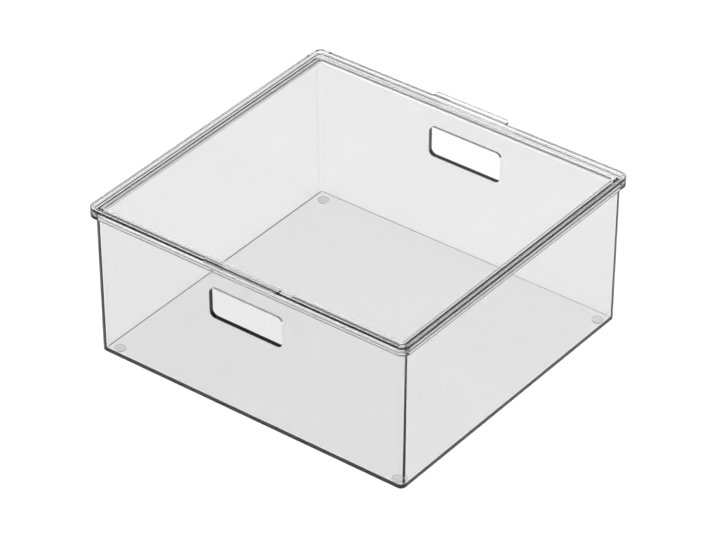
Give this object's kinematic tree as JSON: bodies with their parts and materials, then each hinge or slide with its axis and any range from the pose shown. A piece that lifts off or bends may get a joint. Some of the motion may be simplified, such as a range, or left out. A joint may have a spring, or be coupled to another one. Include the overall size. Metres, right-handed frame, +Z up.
{
  "type": "storage box",
  "caption": "Clear rectangular storage box with drafted walls, a flange, rounded hand holes in opposite sides, a loose lid with a raised rim and pull tabs, and round pads under the floor.",
  "frame": {"origin": "on the table, under the middle of the box", "axes": "+X along the sides with the hand holes, +Y towards the back, +Z up; the hand holes and pull tabs are on the -Y and +Y sides"},
  "size_m": [0.3, 0.291, 0.1365],
  "materials": {
    "clear_plastic": "clear, polished",
    "clear_rubber": "clear, soft"
  },
  "bodies": {
    "box": {"box_body": "clear_plastic", "foot_front_left": "clear_rubber", "foot_front_right": "clear_rubber", "foot_back_left": "clear_rubber", "foot_back_right": "clear_rubber"},
    "lid": {"lid": "clear_plastic"}
  },
  "joints": [
    {"name": "lid_lift", "type": "slide", "parent": "box", "child": "lid", "axis": [0, 0, 1], "range_m": [0, 0.1]}
  ]
}
